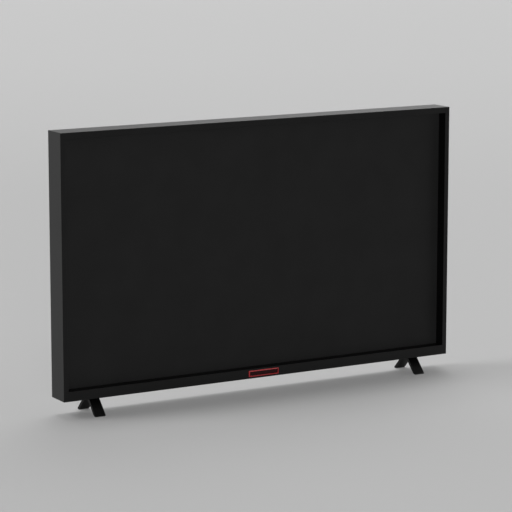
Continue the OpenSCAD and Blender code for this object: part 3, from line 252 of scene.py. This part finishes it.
MATS = {
    "cabinet": grained("cabinet_black", grey(0.004), 0.32, grain=1400.0, depth=0.012, specular=0.265,
                       edge=0.5, wear=2.2),
    "back": grained("rear_cover_black", (0.011, 0.011, 0.0115), 0.55, grain=1300.0, depth=0.16, vary=0.1,
                    specular=0.4, edge=0.5, wear=1.8),
    "screen": grained("screen_antiglare", grey(0.0155), 0.4, grain=3000.0, depth=0.004, vary=0.06,
                      specular=0.072),
    "red": grained("sensor_red", (0.45, 0.012, 0.018), 0.30, grain=700.0, depth=0.006, vary=0.1,
                   specular=0.8, edge=0.2, wear=1.4),
    "window": grained("smoked_window", (0.022, 0.0035, 0.0040), 0.14, grain=500.0, depth=0.001,
                      specular=0.15),
    "foam": grained("black_foam", grey(0.012), 0.85, grain=2200.0, depth=0.12),
    "inner": grained("inner_plastic", (0.03, 0.03, 0.032), 0.5, grain=1200.0, depth=0.02),
    "sheet": grained("optical_sheet", (0.80, 0.81, 0.81), 0.55, grain=2500.0, depth=0.004, vary=0.03),
    "guide": clear_material("light_guide_clear", (0.86, 0.92, 0.94), 0.05),
    "light_bar": grained("light_bar_white", (0.82, 0.82, 0.78), 0.4, grain=800.0, depth=0.01, vary=0.05),
    "alu": brushed("aluminium_brushed", (0.72, 0.73, 0.74), 0.34, (1, 30, 30)),
    "steel": brushed("steel_zinc", ZINC, 0.36, ZINC_LINES),
    "screw": grained("black_zinc", (0.02, 0.02, 0.021), 0.34, grain=1500.0, depth=0.01, metallic=0.8),
    "insert": threaded("insert_zinc", ZINC, 0.36, ZINC_LINES, pitch=1.0),
    "contact": brushed("contact_gold", (0.78, 0.56, 0.22), 0.26, PLATE_LINES),
    "print": printed("key_print", (0.60, 0.60, 0.58), KEY_BLACK, 0.55),
    "socket": brushed("nickel_plate", (0.66, 0.65, 0.62), 0.24, PLATE_LINES),
    "board": board_material("board_green", (0.02, 0.12, 0.055)),
    "film": grained("film_amber", (0.42, 0.24, 0.06), 0.3, grain=200.0, depth=0.004),
    "ribbon": grained("ribbon_white", (0.78, 0.78, 0.76), 0.45, grain=260.0, depth=0.01, vary=0.06),
    "wire": grained("wire_sleeve", (0.045, 0.045, 0.05), 0.45, grain=600.0, depth=0.01),
    "part": grained("component_dark", (0.045, 0.045, 0.055), 0.42, grain=700.0, depth=0.02),
    "cone": grained("speaker_cone", grey(0.03), 0.75, grain=1500.0, depth=0.05),
    "foot": grained("foot_satin_black", grey(0.0022), 0.40, grain=1200.0, depth=0.01, specular=0.11),
    "pad": grained("pad_rubber", grey(0.015), 0.8, grain=1400.0, depth=0.05),
    "key": grained("key_black", KEY_BLACK, 0.4, grain=1100.0, depth=0.012, edge=0.4, wear=1.8),
}

LOOK = {
    "cabinet": ("front_frame",),
    "back": ("rear_cover", "terminal_bay", "inlet_bay"),
    "screen": ("lcd_panel",),
    "red": ("ir_trim",),
    "window": ("ir_window",),
    "foam": ("screen_gasket", "speaker_grommets"),
    "inner": ("panel_mid_frame", "speaker_left", "speaker_right", "mains_inlet", "audio_jacks"),
    "sheet": ("prism_sheet", "diffuser_sheet", "reflector_sheet"),
    "guide": ("light_guide",),
    "light_bar": ("led_bar",),
    "alu": ("led_heat_spreader", "soc_heat_sink", "power_heat_sinks"),
    "steel": ("back_pan", "panel_brackets", "foot_sleeves", "inner_screws", "tcon_shield"),
    "insert": ("vesa_inserts",),
    "screw": ("cover_screws", "foot_screws"),
    "socket": ("hdmi_sockets", "usb_socket", "aerial_socket"),
    "board": ("source_boards", "tcon_board", "main_board", "power_board", "ir_board", "key_board",
              "wifi_module"),
    "film": ("driver_flexes",),
    "ribbon": ("tcon_ribbons", "lvds_ribbon"),
    "wire": ("power_harness", "inlet_lead", "speaker_leads", "signal_leads"),
    "part": ("power_transformer", "mains_capacitors"),
    "cone": ("speaker_cones",),
    "foot": ("foot_left", "foot_right"),
    "pad": ("foot_pads",),
    "key": tuple(n for n in NODES if n.startswith("key_") and n != "key_board"),
}


def paint(obj, mat):
    if not obj.material_slots:
        obj.data.materials.append(mat)
    for material_slot in obj.material_slots:
        material_slot.material = mat


for look, names in LOOK.items():
    for name in names:
        paint(NODES[name], MATS[look])

# Edges
EDGE_ANGLE = math.radians(40.0)
EDGE_SEGMENTS = 2
WELD_DISTANCE = 1e-6
SOFT_EDGES = {"foot_left": 0.5, "foot_right": 0.5, "ir_trim": 0.15}


def soften(name, width):
    """Rounds a node's sharp edges, width in millimetres, so that they catch light."""
    modifiers = NODES[name].modifiers
    modifiers.new("weld", "WELD").merge_threshold = WELD_DISTANCE
    bevel = modifiers.new("edge", "BEVEL")
    bevel.width = width * MM
    bevel.segments = EDGE_SEGMENTS
    bevel.limit_method = "ANGLE"
    bevel.angle_limit = EDGE_ANGLE


for name, width in SOFT_EDGES.items():
    soften(name, width)

# Small pieces, in millimetres. Each reaches a little way into the node that carries it.
SUNK = 0.02
ARC_STEPS = 24


def prism(points, place, depth):
    """Outline carried along a depth, where place(u, v, w) gives a point of the frame in metres."""
    n = len(points)
    verts = [place(u, v, w) for w in depth for u, v in points]
    sides = [(i, (i + 1) % n, n + (i + 1) % n, n + i) for i in range(n)]
    return verts, [tuple(range(n - 1, -1, -1)), tuple(range(n, 2 * n))] + sides


def hoop(rings):
    """Rings of points, each joined to the next and the last to the first."""
    n, m = len(rings), len(rings[0])
    faces = []
    for r in range(n):
        here, there = m * r, m * ((r + 1) % n)
        faces += [(here + i, here + (i + 1) % m, there + (i + 1) % m, there + i) for i in range(m)]
    return [point for ring in rings for point in ring], faces


def piece(name, solids, body, look):
    """New piece made of several solids, riding on a body."""
    verts, faces = [], []
    for solid_verts, solid_faces in solids:
        faces += [tuple(i + len(verts) for i in face) for face in solid_faces]
        verts += solid_verts
    mesh = bpy.data.meshes.new(name)
    mesh.from_pydata(verts, [], faces)
    bm = bmesh.new()
    bm.from_mesh(mesh)
    bmesh.ops.recalc_face_normals(bm, faces=bm.faces)
    bm.to_mesh(mesh)
    bm.free()
    obj = bpy.data.objects.new(name, mesh)
    bpy.context.collection.objects.link(obj)
    paint(obj, MATS[look])
    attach(obj, body)


def rect(u0, u1, v0, v1):
    return [(u0, v0), (u1, v0), (u1, v1), (u0, v1)]


def arc(r_in, r_out, start, end):
    angles = [math.radians(start + (end - start) * i / ARC_STEPS) for i in range(ARC_STEPS + 1)]
    outer = [(r_out * math.cos(a), r_out * math.sin(a)) for a in angles]
    return outer + [(r_in * math.cos(a), r_in * math.sin(a)) for a in reversed(angles)]


# Crown of the red trim, whose four faces fall away from the window. Its section is given by the
# distance from the trim's visible outer edge and the height in front of the trim's face. The trim's
# box reaches past that edge by the flange behind the bezel.
TRIM_FLANGE = 0.7
TRIM_LINE = 2.2
CROWN_HEIGHT = 1.3
CROWN_LIP = 0.06
CROWN_CHAMFER = 0.1
CROWN_OUTER = 0.15
CROWN_TOP = TRIM_LINE - 0.4
CROWN_INNER = TRIM_LINE - 0.1
CROWN_SECTION = [
    (CROWN_OUTER, -SUNK),
    (CROWN_OUTER, CROWN_LIP),
    (CROWN_TOP, CROWN_HEIGHT),
    (CROWN_INNER, CROWN_HEIGHT - CROWN_CHAMFER),
    (CROWN_INNER, -SUNK),
]

trim_low, trim_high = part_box("ir_trim")
trim_mid = (trim_low + trim_high) / 2


def trim_ring(inset, out):
    """Corners of a rectangle inside the trim's visible outer edge, in front of its face."""
    u = (trim_high.x - trim_low.x) / 2 - (TRIM_FLANGE + inset) * MM
    v = (trim_high.z - trim_low.z) / 2 - (TRIM_FLANGE + inset) * MM
    y = trim_low.y - out * MM
    return [(trim_mid.x + a * u, y, trim_mid.z + b * v) for a, b in rect(-1, 1, -1, 1)]


crown = hoop([trim_ring(inset, out) for inset, out in CROWN_SECTION])
piece("ir_trim_crown", [crown], "set", "red")

# Symbols printed on the keys, as seen from behind the set
STROKE = 0.36
HALF = STROKE / 2
REACH = 1.6
POWER_RADIUS = 1.35
POWER_GAP = 70.0
TRIANGLE_BASE = 1.0
TRIANGLE_TIP = 1.5
PRINT_DEPTH = (-SUNK, 0.03)


def bar(v):
    return rect(-REACH, REACH, v - HALF, v + HALF)


def plus():
    return [(-REACH, -HALF), (-HALF, -HALF), (-HALF, -REACH), (HALF, -REACH), (HALF, -HALF), (REACH, -HALF),
            (REACH, HALF), (HALF, HALF), (HALF, REACH), (-HALF, REACH), (-HALF, HALF), (-REACH, HALF)]


def bracket(left, right, rise):
    """Closed on the right, with arms above and below."""
    inner, outer = right - STROKE, rise + STROKE
    return [(left, rise), (inner, rise), (inner, -rise), (left, -rise),
            (left, -outer), (right, -outer), (right, outer), (left, outer)]


def arrow(tail, tip, barb):
    """Points to the right, with its head starting at 0."""
    return [(tail, -HALF), (0.0, -HALF), (0.0, -barb), (tip, 0.0), (0.0, barb), (0.0, HALF), (tail, HALF)]


SYMBOLS = {
    "key_power": [arc(POWER_RADIUS, POWER_RADIUS + STROKE, 90 + POWER_GAP / 2, 450 - POWER_GAP / 2),
                  rect(-HALF, HALF, 0.3, 2.1)],
    "key_source": [bracket(left=-0.3, right=1.8, rise=1.2), arrow(tail=-2.0, tip=1.0, barb=0.7)],
    "key_menu": [bar(-1.0), bar(0.0), bar(1.0)],
    "key_volume_up": [plus()],
    "key_volume_down": [bar(0.0)],
    "key_channel_up": [[(-REACH, -TRIANGLE_BASE), (REACH, -TRIANGLE_BASE), (0.0, TRIANGLE_TIP)]],
    "key_channel_down": [[(-REACH, TRIANGLE_BASE), (0.0, -TRIANGLE_TIP), (REACH, TRIANGLE_BASE)]],
}


def on_key(key):
    """Place on a key's outer face, with u to the right as seen from behind."""
    key_low, key_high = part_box(key)
    middle = (key_low + key_high) / 2

    def place(u, v, w):
        return (middle.x - u * MM, key_high.y + w * MM, middle.z + v * MM)

    return place


for key, outlines in SYMBOLS.items():
    symbol = [prism(points, on_key(key), PRINT_DEPTH) for points in outlines]
    piece(key + "_symbol", symbol, key, "print")

# Contacts on the tongues of the sockets, which start a little way in from the mouth
CONTACT_START = 1.2
CONTACT_DEPTH = (-SUNK, 0.08)

# Half a socket along Z, half the tongue's thickness, and the strips on its back (1) and front (-1)
HDMI_HALF = 7.5
HDMI_TONGUE = 0.5
HDMI_COUNTS = {1: 10, -1: 9}
HDMI_STRIP = {"pitch": 1.0, "width": 0.45, "length": 7.0}

# The tongue's front face, behind the front of the shell
USB_TONGUE = 3.9
USB_COUNT = 4
USB_STRIP = {"pitch": 2.5, "width": 1.1, "length": 8.5}


def contact_row(mouth, face, out, z, count, pitch, width, length):
    """Thin strips on one face of a socket's tongue; out is 1 or -1 along Y."""
    def on_tongue(u, v, w):
        return (mouth - u * MM, face + out * w * MM, z + v * MM)

    centres = [(i - (count - 1) / 2) * pitch for i in range(count)]
    strips = [rect(CONTACT_START, CONTACT_START + length, c - width / 2, c + width / 2) for c in centres]
    return [prism(strip, on_tongue, CONTACT_DEPTH) for strip in strips]


hdmi_low, hdmi_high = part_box("hdmi_sockets")
tongue_mid = (hdmi_low.y + hdmi_high.y) / 2
hdmi_rows = []
for z in (hdmi_low.z + HDMI_HALF * MM, hdmi_high.z - HDMI_HALF * MM):
    for out, count in HDMI_COUNTS.items():
        face = tongue_mid + out * HDMI_TONGUE * MM
        hdmi_rows += contact_row(hdmi_high.x, face, out, z, count, **HDMI_STRIP)
piece("hdmi_contacts", hdmi_rows, "set", "contact")

usb_low, usb_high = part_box("usb_socket")
usb_mid = (usb_low.z + usb_high.z) / 2
usb_row = contact_row(usb_high.x, usb_low.y + USB_TONGUE * MM, -1, usb_mid, USB_COUNT, **USB_STRIP)
piece("usb_contacts", usb_row, "set", "contact")

# Rims round the mouths of the jacks, whose section is given by radius and height
JACK_HALF = 4.0
RIM_STEPS = 48
RIM_INNER = 1.85
RIM_OUTER = 2.75
RIM_SUNK = 0.05
RIM_PROUD = 0.2
RIM_SECTION = rect(RIM_INNER, RIM_OUTER, -RIM_SUNK, RIM_PROUD)

jack_low, jack_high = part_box("audio_jacks")
jack_y = (jack_low.y + jack_high.y) / 2


def rim_ring(z, turn):
    """Section of a rim at one place round the jack at height z."""
    return [(jack_high.x + w * MM, jack_y + r * math.cos(turn) * MM, z + r * math.sin(turn) * MM)
            for r, w in RIM_SECTION]


turns = [2 * math.pi * i / RIM_STEPS for i in range(RIM_STEPS)]
jack_heights = (jack_low.z + JACK_HALF * MM, jack_high.z - JACK_HALF * MM)
rims = [hoop([rim_ring(z, turn) for turn in turns]) for z in jack_heights]
piece("jack_rims", rims, "set", "socket")

# Stage
VIEW_YAW = math.radians(-30.02)

# Floor tone by distance from the set's middle along the view, in metres
FLOOR_TONES = [(-0.9, 0.472), (-0.2, 0.482), (0.8, 0.496), (3.0, 0.511), (4.8, 0.533), (7.6, 0.556),
               (12.6, 0.570)]
FLOOR_SIZE = 80.0
FLOOR_SCALE = 3.0
FLOOR_DIFFUSE = 0.70
FLOOR_GLOW = 0.277


def floor_material():
    """Pale floor that keeps the set's shadow, with a glow for camera, glossy and transmission rays."""
    t = Tree("floor_pale")
    split = t.nodes.new("ShaderNodeSeparateXYZ")
    t.join(t.coords.outputs["Object"], split.inputs["Vector"])
    near, far = FLOOR_TONES[0][0], FLOOR_TONES[-1][0]
    depth = t.add("ShaderNodeMapRange", From_Min=near, From_Max=far)
    t.join(split.outputs["Y"], depth.inputs["Value"])

    def tone(k):
        stops = [((y - near) / (far - near), grey(v * k)) for y, v in FLOOR_TONES]
        return t.ramp(depth.outputs["Result"], stops)

    t.feed(tone(FLOOR_DIFFUSE), "Base Color")
    t.feed(t.spread(t.noise(FLOOR_SCALE), 0.9, 1.0), "Roughness")
    t.values(Specular_IOR_Level=0.0)
    rays = t.nodes.new("ShaderNodeLightPath").outputs
    seen = t.combine("ADD", rays["Is Camera Ray"], rays["Is Glossy Ray"], clamp=True)
    seen = t.combine("ADD", seen, rays["Is Transmission Ray"], clamp=True)
    t.feed(tone(FLOOR_GLOW), "Emission Color")
    t.feed(seen, "Emission Strength")
    return t.mat


bpy.ops.mesh.primitive_plane_add(size=FLOOR_SIZE, location=(0, 0, 0))
floor = bpy.context.object
floor.name = "floor"
floor.rotation_euler = (0.0, 0.0, VIEW_YAW)
floor.data.materials.append(floor_material())

# Light
WORLD_STRENGTH = 0.02
LAMP_DISTANCE = 6.0

# Azimuth from behind the set towards its +X side, elevation and spread in degrees, then energy
LAMPS = {
    "overhead": (0.0, 82.0, 14.0, 0.92),
    "behind": (35.0, 35.0, 50.0, 0.62),
    "left": (-32.0, 10.0, 34.0, 0.48),
    "left_high": (-70.0, 50.0, 24.0, 1.08),
    "right": (60.0, 45.0, 60.0, 1.18),
    "front_right": (130.0, 30.0, 45.0, 0.41),
    "front": (-162.0, 5.0, 14.0, 1.62),
}

world = bpy.data.worlds.new("studio")
world.use_nodes = True
background = world.node_tree.nodes["Background"]
background.inputs["Color"].default_value = (1.0, 1.0, 1.0, 1.0)
background.inputs["Strength"].default_value = WORLD_STRENGTH
bpy.context.scene.world = world


def sun(name, azimuth, elevation, spread, energy):
    """A far, soft lamp."""
    data = bpy.data.lights.new(name, "SUN")
    data.energy = energy
    data.angle = math.radians(spread)
    lamp = bpy.data.objects.new(name, data)
    bpy.context.collection.objects.link(lamp)
    a, e = math.radians(azimuth), math.radians(elevation)
    toward = Vector((math.cos(e) * math.sin(a), math.cos(e) * math.cos(a), math.sin(e)))
    lamp.rotation_euler = (-toward).to_track_quat("-Z", "Y").to_euler()
    lamp.location = toward * LAMP_DISTANCE
    return lamp


lamps = {name: sun(name, *values) for name, values in LAMPS.items()}
# The front lamp is a low fill with no highlight of its own
lamps["front"].visible_glossy = False

# Camera, tilted down by degrees
CAMERA_PLACE = (-2.5927, -4.4861, 1.2114)
CAMERA_DOWN = 9.96
CAMERA_LENS = 169.5
CAMERA_SENSOR = 36.0

camera_data = bpy.data.cameras.new("camera")
camera_data.lens = CAMERA_LENS
camera_data.sensor_width = CAMERA_SENSOR
camera = bpy.data.objects.new("camera", camera_data)
bpy.context.collection.objects.link(camera)
camera.location = CAMERA_PLACE
camera.rotation_euler = (math.radians(90.0 - CAMERA_DOWN), 0.0, VIEW_YAW)
bpy.context.scene.camera = camera
bpy.context.scene.view_settings.view_transform = "Standard"
